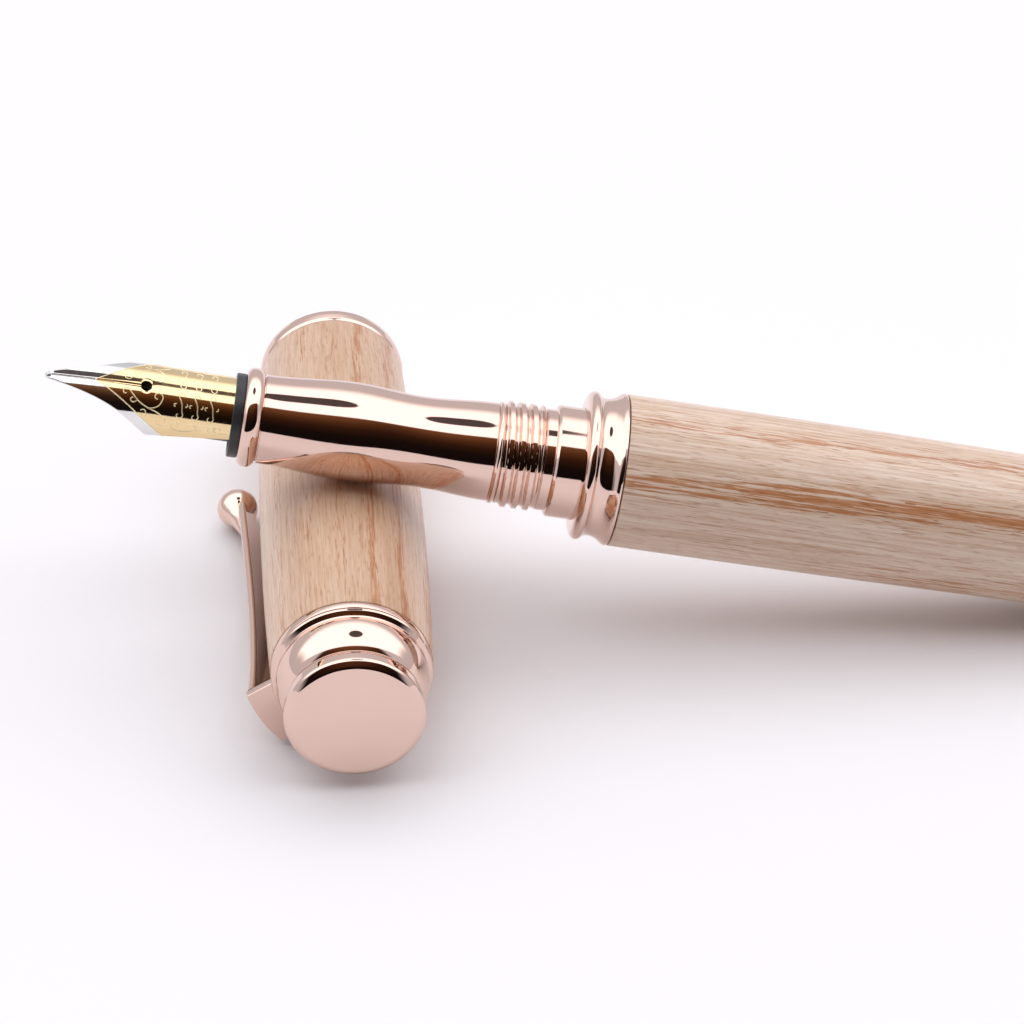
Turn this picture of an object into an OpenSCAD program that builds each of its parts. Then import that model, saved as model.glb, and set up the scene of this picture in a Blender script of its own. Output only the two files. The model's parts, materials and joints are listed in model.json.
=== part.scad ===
// Uncapped fountain pen with turned wooden sleeves and rose gold fittings.
// The cap lies on the table along Y, with its open mouth at +Y.
// The pen lies across the cap, with its nib at -X, and its barrel end touches the table.
// Pen pieces are drawn along +Z, measured from the tip of the nib, with the nib's top at +X.
// Cap pieces are drawn along +Z, measured from the mouth, with the clip at -X.

/* [Pen] */
// Length of the barrel's wooden sleeve
barrel_wood_l = 51.4; // [50.4:0.2:58]
// Radius of the barrel's wood at its widest
barrel_wood_r = 7.02; // [6.9:0.02:7.3]
// Radius of the grip at its bulge, where it lies on the cap
grip_bulge_r = 4.56; // [4.54:0.02:4.7]
// Radius of the grip at its waist
grip_waist_r = 4.15; // [4.1:0.01:4.3]
// Angle that the nib's top leans towards -Y
nib_roll = 32; // [0:1:40]
// Angle of the pen about Z
pen_turn = -3.8; // [-6:0.1:6]

/* [Cap] */
// Length of the cap from its mouth to the face of its finial
cap_l = 58.4; // [58.4:0.1:60]
// Radius of the cap's wood at its widest
cap_wood_r = 7.65; // [7.5:0.05:7.9]
// Angle of the clip below the horizontal
clip_roll = 30; // [20:0.5:31]
// Distance of the clip's ball from the cap's axis
ball_offset = 11.25; // [10.5:0.05:11.3]
// Radius of the clip's ball
ball_r = 1.95; // [1.6:0.05:2]

/* [Nib] */
// Outer radius of the nib's shell
nib_r = 3.4; // [3.3:0.05:3.4]
// Thickness of the nib's sheet
nib_t = 0.35; // [0.25:0.05:0.4]
// How far the tip bends down from the nib's ridge
tip_drop = 0.7; // [0.5:0.1:1.2]

/* [Converter] */
// Travel of the piston
piston_stroke = 20; // [16:1:20]

/* [Hidden] */
$fn = 96;

rose = "#DDBBAE";
ash = "#E3C8A5";
brass_yellow = "#C8A85A";
black_plastic = "#1B1B1D";

glue = 0.02;      // gap left between two pieces that are glued or pressed together
run = 0.06;       // gap between two pieces that turn or slide in each other
arc_steps = 10;   // straight steps along a curved profile

// Stations along the pen, from the tip of the nib
tip_s = 0.4;
breather_s = 9.05;
collar_s = 17.05;
front_ring_s = 17.95;
grip_s = 19.75;
bulge_s = 26.9;
waist_s = 33.6;
seam_s = 41.7;
threads_end_s = 45.2;
step_s = 46.5;
bead_s = 49;
wood_s = 52.6;
end_ring_s = wood_s + barrel_wood_l;
end_plug_s = end_ring_s + 2;
pen_l = end_plug_s + 6;

// Bores and shanks of the pen
grip_front_r = 4.05;
grip_end_r = 4.53;
housing_r = 3.7;
housing_back_s = 30;
nipple_r = 1.2;
nipple_end_s = 36.5;
tenon_s = 35;
tenon_end_s = 49;
tenon_thread_r = 4.0;
tenon_shank_r = 3.78;
tenon_bore_r = 3.52;
coupler_r = 5.15;
coupler_end_s = 60;
tube_bore_r = coupler_r + glue;
tube_r = 5.95;
cap_thread_r = 4.9;
thread_pitch = 1.03;
end_ring_r = 6.6;
barrel_end_r = 6.5;

// Converter
mouth_s = housing_back_s + 0.3;
converter_r = 3.35;
chamber_r = 2.7;
chamber_s = 37.5;
sleeve_s = 60;
tube_end_s = 65;
guide_end_s = 69;
knob_s = 74;
converter_end_s = 94;
piston_s = chamber_s + 0.5;
piston_l = 4;
rod_r = 1.6;
rod_bore_r = 1.2;
rod_end_s = 67;
spindle_r = 1.1;
spindle_s = piston_s + piston_l + piston_stroke + 2;

// Stations along the cap, from its mouth
lip_l = 2.3;
cap_wood_end = 50.6;
washer_t = 0.8;
crown_s = cap_wood_end + washer_t;
finial_s = cap_l - 2.4;
finial_r = 6.25;
washer_r = 7.2;
belly_s = 30;
clip_w = 5.95;
clip_reach = 9.48;
clip_t = 0.75;
clip_bow_r = 13;
arm_gap = 0.08;
ball_s = 15.9;
cap_bore_r = 6.2;
cap_tube_bore_r = 5.75;
liner_step_s = 42;

// The pose: the bulge of the grip lies on the cap and the end ring on the table
rest_s = bulge_s + 0.9;
cap_top = 2 * cap_wood_r + run;
end_arm = end_ring_s + 1 - rest_s;
end_drop = end_ring_r - grip_bulge_r;
tilt = asin(cap_top / norm([end_arm, end_drop])) - atan2(end_drop, end_arm);
cross_x = (rest_s - (pen_l - rest_s)) / 2 * cos(tilt) * cos(pen_turn) - grip_bulge_r * sin(tilt) - 0.3;
cross_y = cap_l / 2 - 30.6;

// ---- Helpers ----

module on_cap() {
    translate([cross_x, cap_l / 2, cap_wood_r]) rotate([90, 0, 0]) children();
}

module on_pen() {
    translate([cross_x, cross_y, cap_top])
        rotate([0, 0, pen_turn]) rotate([0, 90 + tilt, 0])
            translate([-grip_bulge_r, 0, -rest_s]) rotate([0, 0, 180 + nib_roll]) children();
}

// A tube from z0 to z1
module tube(r_out, r_in, z0, z1) {
    translate([0, 0, z0]) difference() {
        cylinder(r = r_out, h = z1 - z0);
        translate([0, 0, -1]) cylinder(r = r_in, h = z1 - z0 + 2);
    }
}

// A solid turned from points of [radius, station]
module turned(points) {
    rotate_extrude() polygon(points);
}

// Radius that eases from r0 to r1 as u goes from 0 to 1
function ease(r0, r1, u) = r0 + (r1 - r0) * (1 - cos(180 * u)) / 2;

// Points that ease from [r0, z0] to [r1, z1], without the last one
function eased(r0, z0, r1, z1, n = arc_steps) =
    [for (i = [0 : n - 1]) [ease(r0, r1, i / n), z0 + (z1 - z0) * i / n]];

// Points on a round bead whose ends are at r, and which stands h proud
function bead(r, h, z0, z1, n = arc_steps) =
    [for (i = [0 : n]) [r + h * sin(180 * i / n), (z0 + z1) / 2 - (z1 - z0) / 2 * cos(180 * i / n)]];

// Points on a bowed profile with radius r at its widest, at station mid
function bowed(r, bow, mid, z0, z1, n = arc_steps) =
    [for (i = [0 : n]) let (z = z0 + (z1 - z0) * i / n) [r - bow * pow((z - mid) / 30, 2), z]];

// ---- Cap ----

module cap_wood() {
    color(ash) on_cap() turned(concat(
        [[cap_bore_r, cap_wood_end], [cap_bore_r, lip_l]],
        bowed(cap_wood_r, 0.82, belly_s, lip_l, cap_wood_end, 16)));
}

module cap_tube() {
    color(brass_yellow) on_cap() tube(cap_bore_r - glue, cap_tube_bore_r, lip_l, cap_wood_end - 0.1);
}

module cap_lip_ring() {
    color(rose) on_cap() turned(concat(
        [[coupler_r + 0.15, lip_l], [coupler_r + 0.15, 0.25], [coupler_r + 0.4, 0], [6.3, 0]],
        bead(6.35, 0.7, 0.02, lip_l - 0.35),
        [[6.9, lip_l - 0.35], [6.9, lip_l]]));
}

// The insert's inner rings stand for the turns of its thread
module cap_thread_insert() {
    s0 = lip_l + 0.7;
    color(brass_yellow) on_cap() difference() {
        tube(cap_tube_bore_r - glue, cap_thread_r + 0.35, s0, s0 + 6.5);
        translate([0, 0, s0]) cylinder(r1 = cap_thread_r + 0.6, r2 = cap_thread_r + 0.35, h = 0.5);
    }
    color(brass_yellow) on_cap() for (i = [0 : 4])
        tube(cap_thread_r + 0.4, cap_thread_r + run, s0 + 1 + i * thread_pitch, s0 + 1.35 + i * thread_pitch);
}

// A cup that closes around the nib so that the ink stays wet
module cap_inner_liner() {
    color(black_plastic) on_cap() turned([
        [4.8, 10], [5.6, 10], [5.6, liner_step_s], [4.8, liner_step_s], [4.8, cap_wood_end - 0.1],
        [0, cap_wood_end - 0.1], [0, cap_wood_end - 0.7], [3.9, cap_wood_end - 0.7],
        [3.9, liner_step_s - 0.8], [4.8, liner_step_s - 0.8]]);
}

// The crown's hollow shank is pressed into the brass tube and holds the clip's washer
module cap_crown() {
    dome_r = 4;
    dome_turn = 44;
    color(rose) on_cap() turned(concat(
        [[4.85, cap_wood_end - 6], [cap_tube_bore_r - 0.05, cap_wood_end - 6],
         [cap_tube_bore_r - 0.05, crown_s], [washer_r - 0.1, crown_s], [washer_r, crown_s + 0.12],
         [washer_r - 0.08, crown_s + 0.32], [washer_r - 0.44, crown_s + 0.62], [washer_r - 0.46, crown_s + 0.8]],
        [for (i = [0 : arc_steps])
            [washer_r - 0.4 - dome_r * (1 - cos(dome_turn * i / arc_steps)),
             crown_s + 1.2 + dome_r * sin(dome_turn * i / arc_steps)]],
        [[5.4, finial_s - 0.5], [5.4, finial_s - glue], [2, finial_s - glue],
         [2, crown_s + 0.2], [4.85, crown_s + 0.2]]));
}

module cap_finial() {
    e = 0.72;
    color(rose) on_cap() turned(concat(
        [[0, crown_s + 0.3], [1.95, crown_s + 0.3], [1.95, finial_s], [finial_r - 0.5, finial_s],
         [finial_r - 0.15, finial_s + 0.25], [finial_r, finial_s + 0.6]],
        [for (i = [0 : 6]) [finial_r - e + e * cos(15 * i), cap_l - e + e * sin(15 * i)]],
        [[0, cap_l]]));
}

// The washer of the clip, with the tongue that carries the arm
module clip_washer() {
    color(rose) on_cap() rotate([0, 0, clip_roll]) translate([0, 0, cap_wood_end]) difference() {
        union() {
            cylinder(r = washer_r, h = washer_t - glue);
            intersection() {
                translate([-clip_reach, -clip_w / 2, 0]) cube([clip_reach, clip_w, washer_t - glue]);
                translate([clip_bow_r - clip_reach, 0, 0]) cylinder(r = clip_bow_r, h = washer_t);
            }
        }
        translate([0, 0, -1]) cylinder(r = cap_tube_bore_r, h = 3);
    }
}

// The springy arm, a curved strip that runs from the tongue to the ball and flares away
module clip_arm() {
    arm_l = cap_wood_end - ball_s;
    flare = atan2(ball_offset - 0.55 - clip_reach, arm_l);
    color(rose) on_cap() rotate([0, 0, clip_roll]) difference() {
        union() {
            translate([-clip_reach, 0, cap_wood_end - arm_gap]) rotate([0, flare, 0]) intersection() {
                translate([clip_bow_r, 0, 0]) tube(clip_bow_r, clip_bow_r - clip_t, -arm_l, 0);
                rotate([90, 0, 90]) linear_extrude(height = 3) polygon([
                    [-clip_w / 2, 0], [-2.55, -6], [-2.0, -15], [-1.25, -arm_l],
                    [1.25, -arm_l], [2.0, -15], [2.55, -6], [clip_w / 2, 0]]);
            }
            // the ball's tail, which runs out along the arm's outer face
            translate([-ball_offset, 0, ball_s]) rotate([0, 8.5, 0]) cylinder(r1 = 1.2, r2 = 0.4, h = 5);
        }
        translate([-ball_offset, 0, ball_s]) sphere(r = ball_r + glue);
    }
}

module clip_ball() {
    color(rose) on_cap() rotate([0, 0, clip_roll]) translate([-ball_offset, 0, ball_s]) sphere(r = ball_r);
}

// ---- Barrel ----

module barrel_wood() {
    color(ash) on_pen() turned(concat(
        [[tube_r + glue, end_ring_s], [tube_r + glue, wood_s]],
        bowed(barrel_wood_r, 0.2, wood_s + 7, wood_s, end_ring_s, 12)));
}

module barrel_tube() {
    color(brass_yellow) on_pen() tube(tube_r, tube_bore_r, wood_s + 0.1, end_ring_s - 0.1);
}

// The coupler carries the cap's thread outside and the section's thread inside
module barrel_coupler() {
    color(rose) on_pen() {
        turned([
            [tenon_thread_r + 0.08, seam_s + 0.05], [4.55, seam_s + 0.05], [4.55, threads_end_s],
            [4.65, threads_end_s], [4.65, step_s - 0.1], [coupler_r - 0.15, step_s],
            [coupler_r, step_s + 0.15], [coupler_r, coupler_end_s],
            [tenon_thread_r + 0.08, coupler_end_s]]);
        for (i = [0 : 2]) let (z = seam_s + 0.3 + i * thread_pitch) turned([
            [4.5, z], [cap_thread_r - 0.06, z + 0.2], [cap_thread_r, z + 0.32],
            [cap_thread_r, z + 0.42], [cap_thread_r - 0.06, z + 0.54], [4.5, z + 0.74]]);
    }
}

// Two rounded beads with a valley between them
module barrel_trim_ring() {
    color(rose) on_pen() turned(concat(
        [[coupler_r + glue, wood_s - glue], [coupler_r + glue, bead_s], [6.0, bead_s]],
        bead(6.15, 0.75, bead_s + 0.02, bead_s + 1.5),
        [[6.2, bead_s + 1.7]],
        bead(6.35, 0.68, bead_s + 1.85, bead_s + 2.9),
        [[6.85, bead_s + 2.95], [7.05, bead_s + 3.1], [7.05, wood_s - 0.15], [6.9, wood_s - glue]]));
}

module barrel_end_ring() {
    color(rose) on_pen() turned(concat(
        [[tube_bore_r - glue - 0.5, end_ring_s + glue], [6.3, end_ring_s + glue]],
        bead(6.3, end_ring_r - 6.3, end_ring_s + 0.05, end_plug_s - 0.1),
        [[6.1, end_plug_s - glue], [tube_bore_r - glue - 0.5, end_plug_s - glue]]));
}

// The plug's shank is pressed through the end ring into the brass tube
module barrel_end_plug() {
    color(rose) on_pen() turned(concat(
        [[0, end_ring_s - 2.5], [tube_bore_r - 0.6, end_ring_s - 2.5], [tube_bore_r - 0.6, end_plug_s]],
        [for (i = [0 : arc_steps]) [4.3 + 1.7 * cos(90 * i / arc_steps),
                                    end_plug_s + 3.2 * sin(90 * i / arc_steps)]],
        [[4.2, pen_l - 2.3], [4.7, pen_l - 2.2], [5.0, pen_l - 1.8], [5.0, pen_l - 0.7],
         [4.8, pen_l - 0.2], [4.4, pen_l], [0, pen_l]]));
}

// ---- Section ----

// A sleeve that is held in the grip and screws into the coupler
module section_tenon() {
    color(brass_yellow) on_pen() {
        turned([
            [tenon_bore_r, tenon_s], [tenon_shank_r - run, tenon_s], [tenon_shank_r - run, seam_s],
            [tenon_thread_r - 0.2, seam_s], [tenon_thread_r - 0.2, tenon_end_s - 0.2],
            [tenon_thread_r - 0.35, tenon_end_s], [tenon_bore_r, tenon_end_s]]);
        for (i = [0 : 5]) tube(tenon_thread_r, tenon_thread_r - 0.22,
            seam_s + 1 + i * thread_pitch, seam_s + 1.4 + i * thread_pitch);
    }
}

module section_grip() {
    color(rose) on_pen() turned(concat(
        [[tenon_shank_r, seam_s], [tenon_shank_r, tenon_s - 0.1], [housing_r + glue, tenon_s - 0.1],
         [housing_r + glue, grip_s]],
        eased(grip_front_r, grip_s, grip_bulge_r, bulge_s),
        eased(grip_bulge_r, bulge_s, grip_waist_r, waist_s),
        eased(grip_waist_r, waist_s, grip_end_r, seam_s - 0.3),
        [[grip_end_r, seam_s - 0.3], [grip_end_r - 0.12, seam_s]]));
}

module section_front_ring() {
    color(rose) on_pen() turned(concat(
        [[housing_r + glue, grip_s - glue], [housing_r + glue, front_ring_s]],
        bead(4.0, 0.5, front_ring_s, grip_s - 0.12),
        [[3.95, grip_s - glue]]));
}

// The black housing holds the nib and feed, and its nipple feeds ink from the converter
module nib_housing() {
    bore = nib_r + glue;
    color(black_plastic) on_pen() difference() {
        turned([
            [0, collar_s], [3.75, collar_s], [3.85, collar_s + 0.1], [3.85, front_ring_s - glue],
            [housing_r, front_ring_s - glue], [housing_r, housing_back_s], [nipple_r, housing_back_s],
            [nipple_r, nipple_end_s - 0.2], [nipple_r - 0.2, nipple_end_s], [0, nipple_end_s]]);
        translate([0, 0, collar_s - 1]) cylinder(r = bore, h = housing_back_s - 2 - collar_s + 1);
        translate([0, 0, collar_s]) cylinder(r = 0.5, h = 30);
    }
}

// The finned feed fills the underside of the nib
module feed() {
    nose_s = 5;
    rise = 0.35;
    front_r = 2.65;
    rear_s = collar_s + 0.4;
    color(black_plastic) on_pen() difference() {
        union() {
            translate([0, 0, rear_s]) cylinder(r = 3, h = housing_back_s - 2.1 - rear_s);
            translate([rise, 0, 9.3]) cylinder(r = front_r, h = rear_s - 9);
            translate([rise, 0, nose_s]) cylinder(r = 2.3, h = 5);
        }
        // the nose rises towards the underside of the tines, and narrows
        translate([2.3, 0, nose_s]) rotate([0, -39.9, 0]) translate([-10, -5, -3]) cube([10, 10, 12]);
        for (side = [0, 1]) mirror([0, side, 0])
            translate([0, 0.3, nose_s]) rotate([-21.8, 0, 0]) translate([-5, 0, -3]) cube([10, 5, 10.2]);
        for (i = [0 : 7]) translate([-4.6, -4, 10.4 + i * 0.8]) cube([3.4, 8, 0.4]);
        translate([0.9, -0.12, 0]) cube([3, 0.24, 24]);
    }
}

// The nib's sheet at station s and angle a from its ridge, at radius r
function nib_sag(s) = tip_drop * pow(max(0, 1 - s / 10), 1.6);
function nib_half(s) = min(4.5 + 4.4 * s + 0.0046 * pow(s, 4), 102 - 1.95 * min(s, 17));
function nib_flare(s) = 0.02 * max(0, 14 - s);
function nib_point(s, a, r) =
    [(r + nib_flare(s)) * cos(a) - nib_sag(s), (r + nib_flare(s)) * sin(a), s];

module nib_sheet() {
    stations = concat([for (i = [0 : 23]) tip_s + 0.4 * i], [10.4, 11.2, 12, 14, 17, 27.5]);
    rows = len(stations);
    cols = 24;
    angle = function (i, j) nib_half(stations[i]) * (2 * j / cols - 1);
    layer = function (r) [for (i = [0 : rows - 1]) for (j = [0 : cols])
        nib_point(stations[i], angle(i, j), r)];
    w = cols + 1;
    n = rows * w;
    polyhedron(concat(layer(nib_r), layer(nib_r - nib_t)), concat(
        [for (i = [0 : rows - 2]) for (j = [0 : cols - 1]) each
            [[i * w + j, (i + 1) * w + j, (i + 1) * w + j + 1], [i * w + j, (i + 1) * w + j + 1, i * w + j + 1]]],
        [for (i = [0 : rows - 2]) for (j = [0 : cols - 1]) each
            [[n + i * w + j, n + (i + 1) * w + j + 1, n + (i + 1) * w + j],
             [n + i * w + j, n + i * w + j + 1, n + (i + 1) * w + j + 1]]],
        [for (i = [0 : rows - 2]) each
            [[i * w, n + i * w, n + (i + 1) * w], [i * w, n + (i + 1) * w, (i + 1) * w]]],
        [for (i = [0 : rows - 2]) let (k = i * w + cols) each
            [[k, n + k + w, n + k], [k, k + w, n + k + w]]],
        [for (j = [0 : cols - 1]) each [[j, j + 1, n + j + 1], [j, n + j + 1, n + j]]],
        [for (j = [0 : cols - 1]) let (k = (rows - 1) * w + j) each
            [[k, n + k + 1, k + 1], [k, n + k, n + k + 1]]]));
}

module nib() {
    color("#D8B24A") on_pen() difference() {
        nib_sheet();
        translate([1, 0, breather_s]) rotate([0, 90, 0]) cylinder(r = 0.5, h = 4, $fn = 32);
        translate([0, -0.04, -1]) cube([5, 0.08, breather_s + 1]);
    }
}

// The hard pellet at the end of the two tines
module nib_tipping() {
    color("#C9C9CC") on_pen() translate([nib_r + nib_flare(tip_s) - nib_t / 2 - tip_drop, 0, tip_s - 0.3]) difference() {
        sphere(r = 0.36);
        translate([-1, -0.04, -1]) cube([2, 0.08, 2]);
        translate([-1, -1, 0.25]) cube([2, 2, 2]);
    }
}

// ---- Converter ----

module converter_tube() {
    color("#E8EEF0", 0.5) on_pen() turned([
        [nipple_r + run, mouth_s], [converter_r - 0.3, mouth_s], [converter_r, mouth_s + 0.5],
        [converter_r, sleeve_s], [3.0, sleeve_s], [3.0, tube_end_s], [chamber_r, tube_end_s],
        [chamber_r, chamber_s], [nipple_r + run, chamber_s - 0.6]]);
}

module converter_sleeve() {
    color(rose) on_pen() tube(converter_r + 0.05, 3.0 + glue, sleeve_s + glue, knob_s - 0.1);
}

module converter_guide() {
    color(black_plastic) on_pen() tube(3.0, rod_r + run, tube_end_s + glue, guide_end_s);
}

module converter_piston() {
    color("#3A3A3C") on_pen() turned([
        [0, piston_s], [1.6, piston_s], [2.5, piston_s + 0.2], [chamber_r - run, piston_s + 0.5],
        [chamber_r - run, piston_s + 1.1], [2.2, piston_s + 1.5], [2.2, piston_s + 2.5],
        [chamber_r - run, piston_s + 2.9], [chamber_r - run, piston_s + piston_l - 0.3],
        [2.3, piston_s + piston_l], [0, piston_s + piston_l]]);
}

module converter_rod() {
    color("#F0F0EC") on_pen() turned([
        [0, piston_s + piston_l + glue], [rod_r, piston_s + piston_l + glue], [rod_r, rod_end_s],
        [rod_bore_r, rod_end_s], [rod_bore_r, piston_s + piston_l + 1], [0, piston_s + piston_l + 1]]);
}

module converter_spindle() {
    color("#B9BBBE") on_pen() translate([0, 0, spindle_s])
        cylinder(r = spindle_r, h = converter_end_s - 3 - glue - spindle_s);
}

// The knob turns the spindle and its hollow takes the piston's rod
module converter_knob() {
    color(black_plastic) on_pen() difference() {
        turned([
            [0, converter_end_s], [0, converter_end_s - 3], [2.2, converter_end_s - 3],
            [2.2, guide_end_s + 0.3], [3.0 - run, guide_end_s + 0.3], [3.0 - run, knob_s],
            [converter_r - 0.25, knob_s], [converter_r, knob_s + 0.3],
            [converter_r, converter_end_s - 0.6], [converter_r - 0.5, converter_end_s]]);
        for (i = [0 : 15]) rotate([0, 0, 22.5 * i]) translate([converter_r + 0.1, 0, knob_s + 2])
            cylinder(r = 0.28, h = converter_end_s - knob_s - 4, $fn = 16);
    }
}

cap_wood();
cap_tube();
cap_lip_ring();
cap_thread_insert();
cap_inner_liner();
cap_crown();
cap_finial();
clip_washer();
clip_arm();
clip_ball();
barrel_wood();
barrel_tube();
barrel_coupler();
barrel_trim_ring();
barrel_end_ring();
barrel_end_plug();
section_tenon();
section_grip();
section_front_ring();
nib_housing();
feed();
nib();
nib_tipping();
converter_tube();
converter_sleeve();
converter_guide();
converter_piston();
converter_rod();
converter_spindle();
converter_knob();
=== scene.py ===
"""Looks of a fountain pen that lies uncapped across its own cap.

Pen pieces are turned about the pen's axis, at stations in millimetres from the tip of the nib,
with +X towards the top of the nib. Cap pieces are turned about the cap's axis, at stations in
millimetres from its mouth, with the clip towards -X. Both frames come from the CAD model.
"""
import json
import math

import bpy
from mathutils import Matrix, Vector


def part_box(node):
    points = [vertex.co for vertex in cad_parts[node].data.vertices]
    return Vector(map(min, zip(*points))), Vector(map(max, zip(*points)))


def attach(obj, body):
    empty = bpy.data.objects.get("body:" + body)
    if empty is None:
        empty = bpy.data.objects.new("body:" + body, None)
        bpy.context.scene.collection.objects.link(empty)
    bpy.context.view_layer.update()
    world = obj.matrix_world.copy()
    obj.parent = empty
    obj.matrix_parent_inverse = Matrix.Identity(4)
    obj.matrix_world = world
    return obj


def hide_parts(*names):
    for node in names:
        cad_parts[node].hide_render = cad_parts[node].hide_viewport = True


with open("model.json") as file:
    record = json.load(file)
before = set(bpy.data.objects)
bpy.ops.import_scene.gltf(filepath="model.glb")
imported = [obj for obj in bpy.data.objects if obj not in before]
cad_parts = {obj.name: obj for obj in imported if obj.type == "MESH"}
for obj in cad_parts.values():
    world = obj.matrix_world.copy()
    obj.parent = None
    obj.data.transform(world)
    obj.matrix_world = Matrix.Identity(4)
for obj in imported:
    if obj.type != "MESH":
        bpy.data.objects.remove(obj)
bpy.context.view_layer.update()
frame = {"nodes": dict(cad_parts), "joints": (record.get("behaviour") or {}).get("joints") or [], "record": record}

MM = 0.001
TAU = 2 * math.pi
SEGMENTS = 208
CREASE = 35

# ---------------------------------------------------------------- frames

joints = {j["name"]: j for j in frame["joints"]}
body_of_node = {n: b for b, ns in frame["record"]["behaviour"]["bodies"].items() for n in ns}

KNOB_JOINT_S = 80
NIB_ROLL = math.radians(32)
CLIP_ROLL = math.radians(30)


def from_axes(origin, x, y, z):
    """A matrix whose columns are the axes, at the origin."""
    rotation = Matrix((x, y, z)).transposed().to_4x4()
    return Matrix.Translation(origin) @ rotation


def pen_matrix():
    """The pen's frame, from the axis of the knob's joint: Z runs back from the nib's tip."""
    axis = Vector(joints["knob_turn"]["axis"]).normalized()
    level = Vector((0, 0, 1)).cross(axis).normalized()
    up = axis.cross(level)
    nib_up = up * math.cos(NIB_ROLL) - level * math.sin(NIB_ROLL)
    origin = Vector(joints["knob_turn"]["pos_m"]) - axis * KNOB_JOINT_S * MM
    return from_axes(origin, nib_up, axis.cross(nib_up), axis)


def cap_matrix():
    """The cap's frame: Z runs from the mouth to the closed end, and Y is up."""
    low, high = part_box("cap_lip_ring")
    origin = Vector(((low.x + high.x) / 2, high.y, (low.z + high.z) / 2))
    return from_axes(origin, Vector((1, 0, 0)), Vector((0, 0, 1)), Vector((0, -1, 0)))


PEN = pen_matrix()
CAP = cap_matrix()
CLIP = CAP @ Matrix.Rotation(CLIP_ROLL, 4, "Z")

# ---------------------------------------------------------------- mesh helpers


def mesh_piece(name, verts, faces, where, material, crease=CREASE):
    """A smooth-shaded mesh with its points, in mm, moved into the row frame."""
    mesh = bpy.data.meshes.new(name)
    mesh.from_pydata([where @ (Vector(v) * MM) for v in verts], [], faces)
    mesh.validate()
    obj = bpy.data.objects.new(name, mesh)
    bpy.context.scene.collection.objects.link(obj)
    for poly in mesh.polygons:
        poly.use_smooth = True
    mesh.set_sharp_from_angle(angle=math.radians(crease))
    mesh.materials.append(material)
    return obj


def stand_for(obj, *nodes):
    """The piece rides on its nodes' body and is shown in their place, while they are hidden."""
    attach(obj, body_of_node[nodes[0]])
    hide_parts(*nodes)
    return obj


def lathe(name, profile, where, material, ripple=None, segments=SEGMENTS, crease=CREASE):
    """A solid turned from a closed outline of (radius, station).

    The value of ripple(radius, station, angle) is added to the radius of each point.
    """
    verts, rings = [], []
    for r, s in profile:
        if r < 1e-6:
            rings.append([len(verts)] * segments)
            verts.append((0, 0, s))
            continue
        rings.append(list(range(len(verts), len(verts) + segments)))
        for i in range(segments):
            a = TAU * i / segments
            q = r + (ripple(r, s, a) if ripple else 0)
            verts.append((q * math.cos(a), q * math.sin(a), s))
    faces = []
    for k, ring in enumerate(rings):
        after = rings[(k + 1) % len(rings)]
        for i in range(segments):
            j = (i + 1) % segments
            corners = [ring[i], ring[j], after[j], after[i]]
            face = [v for n, v in enumerate(corners) if v != corners[n - 1]]
            if len(set(face)) > 2:
                faces.append(face)
    obj = mesh_piece(name, verts, faces, where, material, crease)
    if outline_area(profile) < 0:
        obj.data.flip_normals()
    return obj


def outline_area(profile):
    """Signed area of a closed outline, positive where the lathe's faces look outwards."""
    pairs = zip(profile, profile[1:] + profile[:1])
    return sum(r0 * s1 - r1 * s0 for (r0, s0), (r1, s1) in pairs) / 2


def fillet(points, steps=5):
    """A closed outline of (radius, station) in which a third value rounds that corner."""
    out = []
    for k, point in enumerate(points):
        here = Vector(point[:2])
        if len(point) < 3:
            out.append(point)
            continue
        rounding = point[2]
        back = Vector(points[k - 1][:2]) - here
        ahead = Vector(points[(k + 1) % len(points)][:2]) - here
        half = back.angle(ahead) / 2
        reach = min(rounding / math.tan(half), back.length * 0.49, ahead.length * 0.49)
        p0, p2 = here + back.normalized() * reach, here + ahead.normalized() * reach
        for i in range(steps + 1):
            t = i / steps
            p = p0 * (1 - t) ** 2 + here * 2 * t * (1 - t) + p2 * t ** 2
            out.append((p.x, p.y))
    return out


def flow(points, steps=8):
    """Points of a Catmull-Rom curve through the given ones."""
    pts = [Vector(p) for p in points]
    pts = [pts[0] * 2 - pts[1]] + pts + [pts[-1] * 2 - pts[-2]]
    out = []
    for k in range(1, len(pts) - 2):
        a, b, c, d = pts[k - 1:k + 3]
        for i in range(steps):
            t = i / steps
            out.append(tuple(0.5 * (2 * b + (c - a) * t + (2 * a - 5 * b + 4 * c - d) * t ** 2
                                    + (3 * b - a - 3 * c + d) * t ** 3)))
    return out + [tuple(pts[-2])]


def ease(a, b, u):
    """From a to b with level ends, as u goes from 0 to 1."""
    u = min(max(u, 0), 1)
    return a + (b - a) * (1 - math.cos(math.pi * u)) / 2


def eased(r0, s0, r1, s1, steps=24):
    """Outline points of (radius, station) that ease from the first pair to the second."""
    return [(ease(r0, r1, i / steps), s0 + (s1 - s0) * i / steps) for i in range(steps + 1)]


def spread(a, b, count):
    """Values from a to b in the given number of equal steps, both ends included."""
    return [a + (b - a) * i / count for i in range(count + 1)]


def only_at(radius, ripple):
    """The ripple, kept to the outline's points at one radius."""
    return lambda r, s, a: ripple(r, s, a) if abs(r - radius) < 1e-6 else 0


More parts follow.
